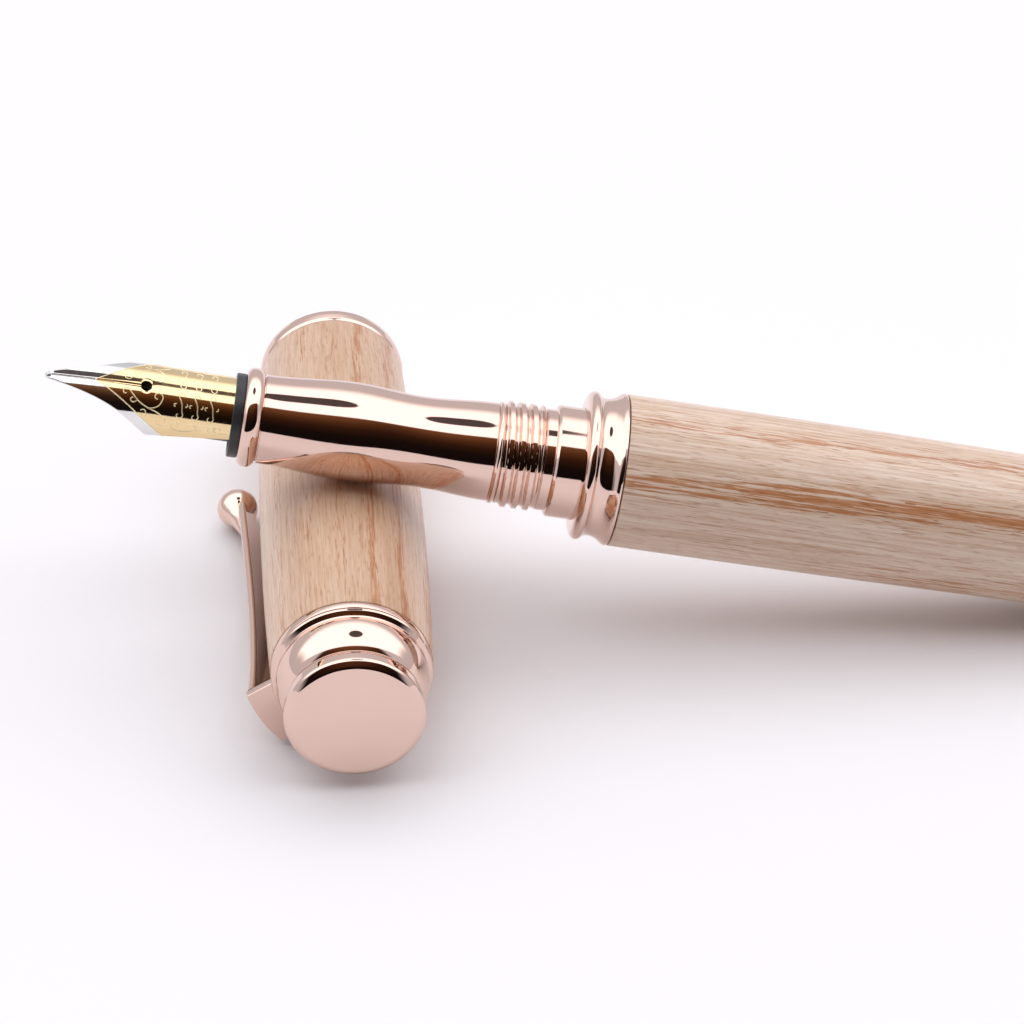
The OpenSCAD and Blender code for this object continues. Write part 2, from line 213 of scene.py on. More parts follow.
def screw_ripple(s0, s1, pitch, depth, flat=0.35, fade=0.6):
    """The ripple of a right-handed thread with rounded ridges, between stations s0 and s1.

    The ridges are cut flat over that share of their height, and run out over fade mm at the ends.
    """
    def ripple(r, s, a):
        if s < s0 or s > s1:
            return 0
        phase = ((s - s0) / pitch - a / TAU) % 1
        ridge = 0.5 - 0.5 * math.cos(TAU * phase)
        ridge = min(1, ridge / (1 - flat))
        ends = min(1, (s - s0) / fade, (s1 - s) / fade)
        return depth * ridge ** 1.3 * ease(0, 1, ends)
    return ripple


# ---------------------------------------------------------------- materials

# places of a Mix node's colour sockets, which share their names with the other data types
MIX_FACTOR, MIX_A, MIX_B, MIX_RESULT = 0, 6, 7, 2


def new_material(name):
    """A new material, its nodes and links, and its shader."""
    mat = bpy.data.materials.new(name)
    mat.use_nodes = True
    nodes, links = mat.node_tree.nodes, mat.node_tree.links
    return mat, nodes, links, nodes["Principled BSDF"]


def noise_node(nodes, links, scale, detail, vector=None, roughness=0.5):
    """Noise in the given vector, or in the piece's own coordinates in metres."""
    tex = nodes.new("ShaderNodeTexNoise")
    tex.inputs["Scale"].default_value = scale
    tex.inputs["Detail"].default_value = detail
    tex.inputs["Roughness"].default_value = roughness
    if vector is None:
        coords = nodes.new("ShaderNodeTexCoord")
        vector = coords.outputs["Object"]
    links.new(vector, tex.inputs["Vector"])
    return tex.outputs["Fac"]


def map_range(nodes, links, value, a, b, c, d, interpolation="LINEAR"):
    """The value taken from the range a to b into the range c to d."""
    node = nodes.new("ShaderNodeMapRange")
    node.interpolation_type = interpolation
    links.new(value, node.inputs["Value"])
    for key, v in zip(("From Min", "From Max", "To Min", "To Max"), (a, b, c, d)):
        node.inputs[key].default_value = v
    return node.outputs["Result"]


def math_node(nodes, links, operation, a, b=None):
    """The result of a Math node on a and b, each a number or a socket."""
    node = nodes.new("ShaderNodeMath")
    node.operation = operation
    for socket, value in zip(node.inputs, (a, b)):
        if isinstance(value, (int, float)):
            socket.default_value = value
        elif value is not None:
            links.new(value, socket)
    return node.outputs["Value"]


def ramp(nodes, links, value, stops):
    """A colour ramp through stops of (place, colour)."""
    node = nodes.new("ShaderNodeValToRGB")
    elements = node.color_ramp.elements
    while len(elements) < len(stops):
        elements.new(0.5)
    for element, (place, colour) in zip(elements, stops):
        element.position = place
        element.color = (*colour, 1)
    links.new(value, node.inputs["Fac"])
    return node.outputs["Color"]


def mix_colour(nodes, links, factor, a, b, blend="MIX"):
    """Colours a and b mixed by the factor. Each is a tuple or a socket."""
    node = nodes.new("ShaderNodeMix")
    node.data_type = "RGBA"
    node.blend_type = blend
    if isinstance(factor, (int, float)):
        node.inputs[MIX_FACTOR].default_value = factor
    else:
        links.new(factor, node.inputs[MIX_FACTOR])
    for socket, value in ((node.inputs[MIX_A], a), (node.inputs[MIX_B], b)):
        if isinstance(value, tuple):
            socket.default_value = (*value, 1)
        else:
            links.new(value, socket)
    return node.outputs[MIX_RESULT]


def bump(nodes, links, bsdf, height, distance, strength):
    """Relief on the shader, with its depth in metres."""
    node = nodes.new("ShaderNodeBump")
    node.inputs["Strength"].default_value = strength
    node.inputs["Distance"].default_value = distance
    links.new(height, node.inputs["Height"])
    links.new(node.outputs["Normal"], bsdf.inputs["Normal"])


def metal(name, light, dark, rough):
    """A plated or polished metal with faint clouding and handling haze."""
    mat, nodes, links, bsdf = new_material(name)
    cloud = noise_node(nodes, links, 140, 3)
    haze = noise_node(nodes, links, 900, 5)
    bsdf.inputs["Metallic"].default_value = 1
    links.new(mix_colour(nodes, links, cloud, light, dark), bsdf.inputs["Base Color"])
    links.new(map_range(nodes, links, haze, 0.3, 0.7, rough * 0.7, rough * 1.4),
              bsdf.inputs["Roughness"])
    bump(nodes, links, bsdf, haze, 0.000002, 0.25)
    return mat


def plastic(name, light, dark, rough):
    """A moulded plastic or rubber with a fine skin."""
    mat, nodes, links, bsdf = new_material(name)
    skin = noise_node(nodes, links, 2500, 3)
    tone = noise_node(nodes, links, 160, 2)
    links.new(mix_colour(nodes, links, tone, light, dark), bsdf.inputs["Base Color"])
    links.new(map_range(nodes, links, skin, 0.3, 0.7, rough * 0.85, rough * 1.15),
              bsdf.inputs["Roughness"])
    bump(nodes, links, bsdf, skin, 0.000004, 0.3)
    return mat


def clear_plastic(name):
    """The converter's clear tube, with faint moulding waves."""
    mat, nodes, links, bsdf = new_material(name)
    wave = noise_node(nodes, links, 260, 2)
    links.new(mix_colour(nodes, links, wave, (0.95, 0.97, 0.98), (0.90, 0.94, 0.95)),
              bsdf.inputs["Base Color"])
    bsdf.inputs["Transmission Weight"].default_value = 1
    bsdf.inputs["IOR"].default_value = 1.49
    links.new(map_range(nodes, links, wave, 0.3, 0.7, 0.02, 0.06), bsdf.inputs["Roughness"])
    bump(nodes, links, bsdf, wave, 0.00001, 0.2)
    return mat


def wood(name, ring_angle, ring_gap, ring_phase, dense, offset, tones):
    """Pale ring-porous wood turned along its grain. The grain attribute is in millimetres.

    The growth rings lie ring_gap mm apart along the direction ring_angle, shifted by ring_phase
    of a gap, and gain colour over the distances in dense. The offset picks the piece of noise,
    and tones are the two colours of the pale late wood.
    """
    mat, nodes, links, bsdf = new_material(name)
    grain = nodes.new("ShaderNodeAttribute")
    grain.attribute_name = "grain"
    place = grain.outputs["Vector"]

    def stretched(across, along, detail, rough=0.5, shift=0.0):
        """Noise with different scales, in waves per mm, across and along the grain."""
        mapping = nodes.new("ShaderNodeMapping")
        mapping.inputs["Scale"].default_value = (across, across, along)
        mapping.inputs["Location"].default_value = [v + shift for v in offset]
        links.new(place, mapping.inputs["Vector"])
        return noise_node(nodes, links, 1.0, detail, mapping.outputs["Vector"], rough)

    def ranged(value, a, b, c, d):
        return map_range(nodes, links, value, a, b, c, d)

    def calc(operation, a, b=None):
        return math_node(nodes, links, operation, a, b)

    # growth rings: distance through them, bent by slow waves and frayed by quick ones
    dot = nodes.new("ShaderNodeVectorMath")
    dot.operation = "DOT_PRODUCT"
    links.new(place, dot.inputs[0])
    dot.inputs[1].default_value = (math.cos(ring_angle), math.sin(ring_angle), 0.012)
    through = dot.outputs["Value"]
    bent = calc("ADD", through, ranged(stretched(0.12, 0.03, 2), 0, 1, -1.3, 1.3))
    bent = calc("ADD", bent, ranged(stretched(1.3, 0.05, 4, 0.6, 5), 0.2, 0.8, -0.35, 0.35))
    ring = calc("FRACT", calc("ADD", calc("MULTIPLY", bent, 1 / ring_gap), ring_phase))
    early = ramp(nodes, links, ring, [
        (0.0, (0.12, 0.12, 0.12)), (0.40, (0, 0, 0)), (0.60, (0.14, 0.14, 0.14)),
        (0.73, (0.66, 0.66, 0.66)), (0.84, (1, 1, 1)), (0.93, (0.55, 0.55, 0.55)),
        (1.0, (0.12, 0.12, 0.12))])
    fibre = stretched(6.0, 0.16, 5, 0.7)
    streak = stretched(2.6, 0.055, 5, 0.7, 11)
    dash = stretched(4.2, 0.17, 4, 0.65, 23)
    early = calc("MULTIPLY", early, ranged(streak, 0.36, 0.56, 0.50, 1.20))
    early = calc("MULTIPLY", early, ranged(through, *dense, 0.35, 1.1))
    frayed = calc("ADD", early, ranged(dash, 0.44, 0.62, -0.42, 0.42))
    frayed = ranged(frayed, 0.22, 0.86, 0, 1)
    pale = mix_colour(nodes, links, ranged(fibre, 0.34, 0.66, 0, 1), *tones)
    pale = mix_colour(nodes, links, ranged(streak, 0.42, 0.66, 0, 0.75), pale,
                      (0.600, 0.365, 0.215))
    warm = mix_colour(nodes, links, ranged(dash, 0.38, 0.62, 0, 1),
                      (0.640, 0.325, 0.165), (0.510, 0.215, 0.085))
    base = mix_colour(nodes, links, frayed, pale, warm)

    # pores: short dark dashes along the grain, most of them in the early wood
    pores = ranged(stretched(7.0, 0.50, 2, 0.5, 37), 0.585, 0.655, 0, 1)
    pores = calc("MULTIPLY", pores, ranged(early, 0.0, 0.6, 0.42, 0.90))
    base = mix_colour(nodes, links, pores, base, (0.400, 0.160, 0.055))

    # slow changes of tone along the whole sleeve
    broad = stretched(0.22, 0.020, 2, 0.5, 51)
    shade = mix_colour(nodes, links, ranged(broad, 0.35, 0.65, 0, 1), (1.0, 1.0, 1.0),
                       (0.90, 0.86, 0.83))
    links.new(mix_colour(nodes, links, 1, base, shade, "MULTIPLY"), bsdf.inputs["Base Color"])
    links.new(ranged(fibre, 0.3, 0.7, 0.36, 0.48), bsdf.inputs["Roughness"])
    bsdf.inputs["Coat Weight"].default_value = 0.5
    bsdf.inputs["Coat Roughness"].default_value = 0.25
    bump(nodes, links, bsdf, calc("SUBTRACT", calc("MULTIPLY", fibre, 0.3), pores), 0.00003, 0.35)
    return mat


def two_tone(name):
    """Nib metal: gold where the tone attribute, in millimetres, is above zero, else silver."""
    mat, nodes, links, bsdf = new_material(name)
    tone = nodes.new("ShaderNodeAttribute")
    tone.attribute_name = "tone"
    gold = map_range(nodes, links, tone.outputs["Fac"], -0.012, 0.012, 0, 1)
    cloud = noise_node(nodes, links, 300, 3)
    haze = noise_node(nodes, links, 1400, 4)
    yellow = mix_colour(nodes, links, cloud, (0.88, 0.68, 0.39), (0.83, 0.62, 0.34))
    links.new(mix_colour(nodes, links, gold, (0.80, 0.79, 0.78), yellow),
              bsdf.inputs["Base Color"])
    bsdf.inputs["Metallic"].default_value = 1
    links.new(map_range(nodes, links, haze, 0.3, 0.7, 0.05, 0.10), bsdf.inputs["Roughness"])
    bump(nodes, links, bsdf, haze, 0.000002, 0.3)
    return mat


ROSE = metal("rose_gold_plate", (0.79, 0.58, 0.495), (0.76, 0.55, 0.465), 0.05)
BRASS = metal("drawn_brass", (0.70, 0.52, 0.24), (0.60, 0.43, 0.18), 0.22)
STEEL = metal("turned_steel", (0.60, 0.60, 0.61), (0.50, 0.50, 0.52), 0.18)
TIP = metal("tip_alloy", (0.74, 0.74, 0.75), (0.66, 0.66, 0.68), 0.12)
LINE = metal("engraved_line", (0.95, 0.84, 0.56), (0.92, 0.79, 0.50), 0.42)
NIB_METAL = two_tone("nib_two_tone")
BLACK = plastic("black_plastic", (0.030, 0.030, 0.032), (0.022, 0.022, 0.024), 0.38)
WHITE = plastic("white_plastic", (0.80, 0.80, 0.77), (0.74, 0.74, 0.71), 0.45)
RUBBER = plastic("seal_rubber", (0.035, 0.035, 0.038), (0.025, 0.025, 0.027), 0.65)
CLEAR = clear_plastic("clear_plastic")
CAP_WOOD = wood("cap_ash_wood", 0.0, 2.75, -0.18, (0.6, 2.2), (3.0, 1.2, 40.0),
                ((0.770, 0.555, 0.405), (0.650, 0.435, 0.290)))
BARREL_WOOD = wood("barrel_ash_wood", math.radians(88), 5.0, 0.016, (-6.0, 3.5), (9.0, 4.0, 21.0),
                   ((0.885, 0.730, 0.605), (0.775, 0.610, 0.480)))

# ---------------------------------------------------------------- shared sizes, in mm

FRONT_RING_S, GRIP_S, BULGE_S, WAIST_S, SEAM_S = 17.95, 19.75, 27.9, 34.3, 41.7
THREADS_END_S, STEP_S, BEAD_S, WOOD_S = 45.2, 46.5, 49.0, 52.6
GRIP_FRONT_R, GRIP_BULGE_R, GRIP_WAIST_R, GRIP_END_R = 4.05, 4.55, 4.15, 4.53
HOUSING_R, COUPLER_R, THREAD_CREST_R, THREAD_ROOT_R = 3.72, 5.15, 4.88, 4.56
THREAD_PITCH = 1.06
NIB_R, NIB_T, TIP_S, TIP_DROP, BREATHER_S, BREATHER_R = 3.4, 0.35, 0.4, 0.7, 9.05, 0.5
# the line between gold and silver starts at TONE_S on the ridge and bends outwards behind it:
# its slope in degrees per mm, and the bend in degrees per mm squared
TONE_S, TONE_SLOPE, TONE_BEND = 4.4, 8.34, 0.54
END_RING_S, END_PLUG_S, PEN_L = 104, 106, 112
CAP_L = (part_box("cap_lip_ring")[1].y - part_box("cap_finial")[0].y) / MM
LIP_L, CAP_WOOD_END, WASHER_T = 2.3, 50.6, 0.8
CROWN_S, FINIAL_S, WASHER_R = CAP_WOOD_END + WASHER_T, CAP_L - 2.4, 7.2
CLIP_REACH, CLIP_W, CLIP_T, CLIP_BOW_R = 9.48, 5.95, 0.75, 13.0
BALL_S, BALL_OFFSET, BALL_R = 15.9, 11.25, 1.95
CAP_TUBE_R, BARREL_TUBE_R = 6.2, 5.97

# ---------------------------------------------------------------- wooden sleeves


def cap_wood_radius(s):
    """The cap's sleeve is widest near its middle."""
    return 7.65 - 0.82 * ((s - 30) / 30) ** 2


def barrel_wood_radius(s):
    """The barrel's sleeve is widest 7 mm behind the trim ring."""
    return 7.02 - 0.2 * ((s - WOOD_S - 7) / 30) ** 2


def wood_sleeve(name, node, where, radius_at, bore, s0, s1, material):
    """A turned sleeve between two stations, with its own coordinates kept for the grain."""
    outer = [(radius_at(s), s) for s in spread(s0 + 0.05, s1 - 0.05, 64)]
    profile = [(bore, s1), (bore, s0), (outer[0][0] - 0.05, s0)] + outer
    profile += [(outer[-1][0] - 0.05, s1)]
    obj = lathe(name, profile, where, material, segments=256)
    grain = obj.data.attributes.new("grain", "FLOAT_VECTOR", "POINT")
    back = where.inverted()
    for v, item in zip(obj.data.vertices, grain.data):
        item.vector = (back @ v.co) / MM
    return stand_for(obj, node)


wood_sleeve("cap_wood_sleeve", "cap_wood", CAP, cap_wood_radius,
            CAP_TUBE_R, LIP_L + 0.02, CAP_WOOD_END - 0.02, CAP_WOOD)
# a fine dark gap shows between the trim ring and the barrel's wood
wood_sleeve("barrel_wood_sleeve", "barrel_wood", PEN, barrel_wood_radius,
            BARREL_TUBE_R, WOOD_S + 0.10, END_RING_S - 0.02, BARREL_WOOD)

# ---------------------------------------------------------------- cap fittings


def cap_lip_ring():
    """The rounded ring at the cap's mouth."""
    profile = fillet([
        (5.3, LIP_L), (5.3, 0.25, 0.1), (5.55, 0, 0.1), (6.35, 0, 0.25), (6.95, 0.35, 0.5),
        (7.05, 1.1, 0.9), (6.98, 1.8, 0.4), (6.84, 2.02, 0.08), (6.84, LIP_L)], 7)
    stand_for(lathe("cap_lip_ring_turned", profile, CAP, ROSE), "cap_lip_ring")


def cap_thread_insert():
    """The brass sleeve behind the lip ring, with the thread cut into its bore."""
    s0, s1 = LIP_L + 0.7, LIP_L + 7.2
    crest_r = 5.27
    inner = [(crest_r, s) for s in spread(s1 - 0.1, s0 + 0.3, 90)]
    profile = [(5.5, s0), (5.7, s0), (5.7, s1), (5.3, s1)] + inner
    thread = only_at(crest_r, screw_ripple(s0 + 0.6, s1 - 0.3, THREAD_PITCH, -0.30))
    obj = lathe("cap_thread_insert_turned", profile, CAP, BRASS, thread, segments=160)
    stand_for(obj, "cap_thread_insert")


def cap_crown():
    """The bushing at the cap's closed end: rim over the washer, dome, and seat for the finial."""
    dome_r = 4
    dome = [(6.80 - dome_r * (1 - math.cos(a)), CROWN_S + 1.3 + dome_r * math.sin(a))
            for a in spread(0, math.radians(46), 30)]
    rim = [(5.70, CROWN_S), (WASHER_R - 0.06, CROWN_S, 0.04), (WASHER_R, CROWN_S + 0.15, 0.06),
           (WASHER_R - 0.08, CROWN_S + 0.32, 0.1), (WASHER_R - 0.44, CROWN_S + 0.62, 0.1),
           (WASHER_R - 0.48, CROWN_S + 0.80, 0.1)]
    profile = [(4.85, CAP_WOOD_END - 6), (5.70, CAP_WOOD_END - 6)] + rim + dome
    profile += [(5.4, FINIAL_S - 0.6), (5.4, FINIAL_S - 0.02), (2.0, FINIAL_S - 0.02),
                (2.0, CROWN_S + 0.2), (4.85, CROWN_S + 0.2)]
    stand_for(lathe("cap_crown_turned", fillet(profile), CAP, ROSE), "cap_crown")


def cap_finial():
    """The flat disc with its stud."""
    profile = [(0, CROWN_S + 0.3), (1.95, CROWN_S + 0.3), (1.95, FINIAL_S),
               (5.55, FINIAL_S, 0.2), (6.10, FINIAL_S + 0.25, 0.3), (6.25, FINIAL_S + 0.9, 0.5),
               (6.25, CAP_L - 0.55, 0.5), (5.62, CAP_L, 0.75), (0, CAP_L)]
    stand_for(lathe("cap_finial_turned", fillet(profile, 9), CAP, ROSE), "cap_finial")


def clip_washer():
    """The washer with its tongue, cut from sheet and rounded along its edges."""
    t0, t1 = CAP_WOOD_END + 0.01, CROWN_S - 0.03
    bore = 5.77
    outline = []
    half = CLIP_W / 2
    start = math.asin(half / WASHER_R)
    for a in spread(math.pi + start, 3 * math.pi - start, 150):
        outline.append((WASHER_R * math.cos(a), WASHER_R * math.sin(a)))
    for y in spread(half, -half, 24):
        x = CLIP_BOW_R - CLIP_REACH - math.sqrt(CLIP_BOW_R ** 2 - y ** 2)
        outline.append((x, y))
    n = len(outline)
    layers = [(0.06, t0), (0.0, t0 + 0.06), (0.0, t1 - 0.1), (0.03, t1 - 0.03), (0.1, t1)]
    verts = []
    for inset, s in layers:
        for x, y in outline:
            length = math.hypot(x, y)
            verts.append((x * (1 - inset / length), y * (1 - inset / length), s))
    for s in (t0, t1):
        for x, y in outline:
            length = math.hypot(x, y)
            verts.append((bore * x / length, bore * y / length, s))
    rings = [list(range(k * n, (k + 1) * n)) for k in range(len(layers) + 2)]
    bore_low, bore_high = rings[-2:]
    order = [bore_low] + rings[:-2] + [bore_high]
    faces = []
    for low, high in zip(order, order[1:] + order[:1]):
        faces += [[low[i], low[(i + 1) % n], high[(i + 1) % n], high[i]] for i in range(n)]
    stand_for(mesh_piece("clip_washer_cut", verts, faces, CLIP, ROSE, 40), "clip_washer")


def spring(u):
    """How far the arm bows towards the cap at share u of its length, as a share of its dip."""
    return math.sin(math.pi * u ** 0.7) if 0 < u < 1 else 0.0


def clip_arm():
    """The bowed strip, with rounded edges, from the bend at the tongue to the ball."""
    edge_w, edge_depth, dip = 0.22, 0.18, 0.42
    arm_l = CAP_WOOD_END - BALL_S
    flare = (BALL_OFFSET - 0.55 - CLIP_REACH) / arm_l
    widths = flow([(0.0, CLIP_W / 2), (2.5, 2.82), (6, 2.52), (15, 1.98), (arm_l - 3, 1.36),
                   (arm_l - 1.75, 1.22)], 10)
    across = 20
    verts, rings = [], []
    for d, half in widths:
        outer, inner = [], []
        for y in [half * math.sin(a) for a in spread(-math.pi / 2, math.pi / 2, across)]:
            bow = CLIP_BOW_R - math.sqrt(CLIP_BOW_R ** 2 - y ** 2)
            edge = max(0.0, 1 - (half - abs(y)) / edge_w) ** 2 * edge_depth
            x = -CLIP_REACH - flare * d + bow + dip * spring(d / arm_l)
            outer.append((x + edge, y, CAP_WOOD_END - 0.06 - d))
            inner.append((x + CLIP_T - edge, y, CAP_WOOD_END - 0.06 - d))
        ring = outer + inner[::-1]
        rings.append(list(range(len(verts), len(verts) + len(ring))))
        verts += ring
    m = len(rings[0])
    faces = []
    for low, high in zip(rings, rings[1:]):
        faces += [[low[i], high[i], high[(i + 1) % m], low[(i + 1) % m]] for i in range(m)]
    faces += [rings[0], rings[-1][::-1]]
    obj = mesh_piece("clip_arm_strip", verts, faces, CLIP, ROSE, 50)
    stand_for(obj, "clip_arm")


def clip_ball():
    """The ball and its tail, which runs out along the arm's outer face."""
    turn, tilt = math.radians(128), math.radians(8.5)
    profile = [(BALL_R * math.sin(a), -BALL_R * math.cos(a)) for a in spread(0, turn, 44)]
    profile += flow([profile.pop(), (1.22, 1.75), (0.92, 2.6), (0.66, 3.8), (0.40, 4.8)], 8)
    profile[0] = (0, profile[0][1])
    profile += [(0.2, 5.0), (0, 5.05)]
    where = CLIP @ Matrix.Translation(Vector((-BALL_OFFSET, 0, BALL_S)) * MM)
    where = where @ Matrix.Rotation(tilt, 4, "Y")
    stand_for(lathe("clip_ball_turned", profile, where, ROSE, segments=96), "clip_ball")


cap_lip_ring()
cap_thread_insert()
cap_crown()
cap_finial()
clip_washer()
clip_arm()
clip_ball()

# ---------------------------------------------------------------- barrel fittings


def barrel_coupler():
    """The coupler with the cap's thread, a step, and the spigot that holds the trim ring."""
    bore, end_s = 4.08, BEAD_S + 10.6
    thread_s = spread(SEAM_S + 0.04, THREADS_END_S + 0.3, 120)
    profile = [(bore, SEAM_S + 0.01), (4.50, SEAM_S + 0.01)]
    profile += [(THREAD_ROOT_R, s) for s in thread_s]
    profile += [(4.68, THREADS_END_S + 0.34, 0.03), (4.68, STEP_S - 0.12, 0.04),
                (4.98, STEP_S - 0.02, 0.06), (COUPLER_R, STEP_S + 0.2, 0.12),
                (COUPLER_R, end_s), (bore, end_s)]
    thread = screw_ripple(SEAM_S + 0.05, THREADS_END_S + 0.28, THREAD_PITCH,
                          THREAD_CREST_R - THREAD_ROOT_R, fade=0.3)
    obj = lathe("barrel_coupler_turned", fillet(profile), PEN, ROSE,
                only_at(THREAD_ROOT_R, thread), segments=256)
    stand_for(obj, "barrel_coupler")


def barrel_trim_ring():
    """The ring of two beads against the barrel's wood."""
    bore = 5.17
    beads = flow([
        (5.75, BEAD_S + 0.02), (6.26, BEAD_S + 0.08), (6.66, BEAD_S + 0.28), (6.86, BEAD_S + 0.62),
        (6.80, BEAD_S + 0.94), (6.56, BEAD_S + 1.20), (6.39, BEAD_S + 1.52), (6.36, BEAD_S + 1.94),
        (6.46, BEAD_S + 2.40), (6.68, BEAD_S + 2.80), (6.93, BEAD_S + 3.14)], 8)
    profile = [(bore, WOOD_S - 0.02), (bore, BEAD_S)] + beads
    profile += [(7.06, WOOD_S - 0.2, 0.06), (7.0, WOOD_S - 0.02, 0.05)]
    stand_for(lathe("barrel_trim_ring_turned", fillet(profile), PEN, ROSE, segments=256),
              "barrel_trim_ring")


def barrel_end():
    """The ring and the domed plug at the barrel's far end."""
    ring = flow([(6.32, END_RING_S + 0.05), (6.50, END_RING_S + 0.35), (6.60, END_RING_S + 1.0),
                 (6.50, END_RING_S + 1.6), (6.30, END_PLUG_S - 0.08)], 8)
    profile = [(4.65, END_PLUG_S - 0.02), (4.65, END_RING_S + 0.02), (6.2, END_RING_S + 0.02)]
    stand_for(lathe("barrel_end_ring_turned", profile + ring + [(6.15, END_PLUG_S - 0.02)],
                    PEN, ROSE), "barrel_end_ring")
    dome = [(4.3 + 1.7 * math.cos(a), END_PLUG_S + 3.2 * math.sin(a))
            for a in spread(0, math.pi / 2, 24)]
    tip = [(4.2, PEN_L - 2.35, 0.2), (4.75, PEN_L - 2.2, 0.25), (5.0, PEN_L - 1.6, 0.4),
           (5.0, PEN_L - 0.5, 0.4), (4.45, PEN_L, 0.6), (0, PEN_L)]
    profile = [(0, END_RING_S - 2.5), (4.6, END_RING_S - 2.5), (4.6, END_PLUG_S)] + dome + tip
    stand_for(lathe("barrel_end_plug_turned", fillet(profile, 8), PEN, ROSE),
              "barrel_end_plug")


barrel_coupler()
barrel_trim_ring()
barrel_end()

# ---------------------------------------------------------------- section


def section_grip():
    """The vase-shaped grip with a small bead at its rear edge."""
    tenon_bore, tenon_s = 3.78, 34.9
    outer = eased(GRIP_FRONT_R, GRIP_S, GRIP_BULGE_R, BULGE_S)
    outer += eased(GRIP_BULGE_R, BULGE_S, GRIP_WAIST_R, WAIST_S)[1:]
    outer += eased(GRIP_WAIST_R, WAIST_S, GRIP_END_R, SEAM_S - 0.72)[1:]
    outer += flow([(GRIP_END_R - 0.10, SEAM_S - 0.62), (GRIP_END_R + 0.02, SEAM_S - 0.56),
                   (GRIP_END_R + 0.17, SEAM_S - 0.36), (GRIP_END_R + 0.06, SEAM_S - 0.12),
                   (GRIP_END_R - 0.06, SEAM_S)], 6)
    profile = [(tenon_bore, SEAM_S), (tenon_bore, tenon_s), (HOUSING_R, tenon_s),
               (HOUSING_R, GRIP_S)] + outer
    stand_for(lathe("section_grip_turned", fillet(profile), PEN, ROSE, segments=256),
              "section_grip")


def section_front_ring():
    """The bead in front of the grip."""
    bead = flow([(3.95, FRONT_RING_S), (4.22, FRONT_RING_S + 0.08), (4.46, FRONT_RING_S + 0.36),
                 (4.54, FRONT_RING_S + 0.80), (4.46, FRONT_RING_S + 1.24),
                 (4.20, FRONT_RING_S + 1.56), (4.0, FRONT_RING_S + 1.64)], 8)
    profile = [(HOUSING_R, GRIP_S - 0.02), (HOUSING_R, FRONT_RING_S)] + bead
    profile += [(3.93, FRONT_RING_S + 1.70), (3.93, GRIP_S - 0.02)]
    stand_for(lathe("section_front_ring_turned", profile, PEN, ROSE), "section_front_ring")


def nib_housing():
    """The black collar round the nib, and the nipple that the converter sits on."""
    bore, mouth_s, collar_r, floor_s, nipple_s = NIB_R + 0.02, 17.05, 3.85, 28, 36.5
    profile = [(bore, floor_s), (bore, mouth_s, 0.06), (collar_r, mouth_s, 0.12),
               (collar_r, FRONT_RING_S - 0.03, 0.05), (3.7, FRONT_RING_S - 0.03), (3.7, 30),
               (1.2, 30), (1.2, nipple_s - 0.2), (1.0, nipple_s), (0.5, nipple_s), (0.5, floor_s)]
    stand_for(lathe("nib_housing_moulded", fillet(profile), PEN, BLACK), "nib_housing")


def section_tenon():
    """The threaded brass sleeve behind the grip."""
    front_s, back_s, bore, root_r = 35, 49, 3.52, 3.8
    threads = [(root_r, s) for s in spread(SEAM_S + 0.05, back_s - 0.3, 140)]
    profile = [(bore, front_s), (3.72, front_s), (3.72, SEAM_S)] + threads
    profile += [(3.65, back_s), (bore, back_s)]
    thread = only_at(root_r, screw_ripple(SEAM_S + 0.6, back_s - 0.4, 0.85, 0.2))
    obj = lathe("section_tenon_turned", profile, PEN, BRASS, thread, segments=160)
    stand_for(obj, "section_tenon")


section_grip()
section_front_ring()
nib_housing()
section_tenon()

# ---------------------------------------------------------------- nib


def nib_sag(s):
    """How far the ridge drops towards the tip."""
    return TIP_DROP * max(0, 1 - s / 10) ** 1.6


def nib_half(s):
    """Angle of the sheet's edge from the ridge, in degrees: the tines widen to soft shoulders."""
    tines, body = 4.5 + 4.4 * s + 0.0046 * s ** 4, 102 - 1.95 * min(s, 17)
    return (tines ** -40 + body ** -40) ** (-1 / 40)


def nib_flare(s):
    """How much wider than at its heel the sheet's arc is."""
    return 0.02 * max(0, 14 - s)


def nib_point(s, angle, lift):
    """A point of the nib's outer face, raised by the lift."""
    r = NIB_R + nib_flare(s) + lift
    return (r * math.cos(angle) - nib_sag(s), r * math.sin(angle), s)


def tone_line(s):
    """Angle from the ridge, in radians, of the line between gold and silver."""
    u = s - TONE_S
    return math.radians(TONE_SLOPE * u + TONE_BEND * u * u)


def tone_edge(s, angle):
    """Signed distance in mm from that line, above zero where the nib is gold.

    The angle is counted from the ridge to either side.
    """
    if s <= TONE_S:
        return s - TONE_S
    slope = math.radians(TONE_SLOPE + 2 * TONE_BEND * (s - TONE_S)) * NIB_R
    return (tone_line(s) - angle) * NIB_R / math.hypot(1, slope)


def nib_stations():
    """Stations of the sheet's rows, closest together round the breather hole."""
    ring = [BREATHER_S + BREATHER_R * math.cos(a) for a in spread(math.pi, 0, 24)]
    front = spread(TIP_S, ring[0], 64)[:-1]
    rear = spread(ring[-1], 11.5, 24)[1:] + spread(11.5, 27.5, 40)[1:]
    return front + ring + rear


def slit_angle(s):
    """Half the angle of the gap between the tines, which opens into the breather hole."""
    gap = 0.022 + 0.012 * max(0, 1 - s / 6)
    if s <= BREATHER_S - BREATHER_R:
        return gap / NIB_R
    if s < BREATHER_S + BREATHER_R:
        hole = math.sqrt(max(0, BREATHER_R ** 2 - (s - BREATHER_S) ** 2))
        return max(hole, gap if s < BREATHER_S else 0) / NIB_R
    return 0.0


